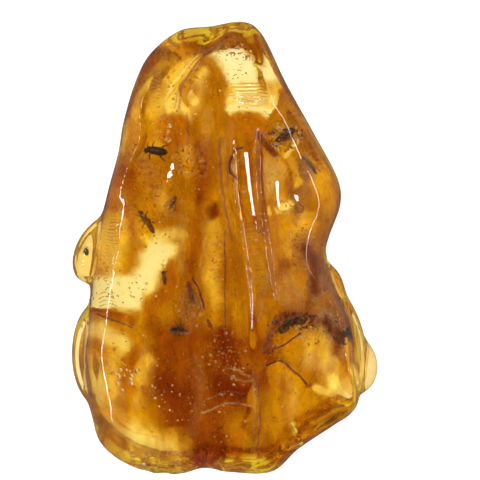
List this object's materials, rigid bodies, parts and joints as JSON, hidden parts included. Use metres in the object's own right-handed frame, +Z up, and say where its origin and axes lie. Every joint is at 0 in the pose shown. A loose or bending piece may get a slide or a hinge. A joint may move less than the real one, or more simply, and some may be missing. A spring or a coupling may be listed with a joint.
{
  "type": "copal nodule with sealed insects",
  "caption": "Polished see-through nodule of honey-coloured copal, long and lobed, with insects and bark crumbs sealed inside; lies on its back on a small flat spot.",
  "frame": {"origin": "under the middle of the nodule's box, on the surface it rests on", "axes": "+Z up, out of the side with the clearest view of the insects; +Y along the nodule towards its narrow end; +X to the right of someone who looks down on it with the narrow end away"},
  "size_m": [0.0342, 0.0502, 0.021],
  "materials": {
    "copal": "polished natural resin, clear honey yellow with cloudy orange and brown zones, very shiny",
    "insect_black": "black-brown chitin with a soft shine",
    "insect_brown": "brown chitin with a soft shine",
    "insect_red_brown": "red-brown chitin with a soft shine",
    "bark": "crumbled dark bark, matt"
  },
  "bodies": {
    "root": {"copal_front": "copal", "copal_back": "copal", "beetle": "insect_black", "rove_beetle": "insect_brown", "midge": "insect_brown", "mite": "insect_black", "leafhopper": "insect_brown", "winged_termite": "insect_red_brown", "spider": "insect_black", "springtail": "insect_red_brown", "ant": "insect_brown", "fungus_gnat": "insect_brown", "bark_crumb_upper": "bark", "bark_crumb_lower": "bark", "bark_crumb_side": "bark"}
  },
  "joints": []
}
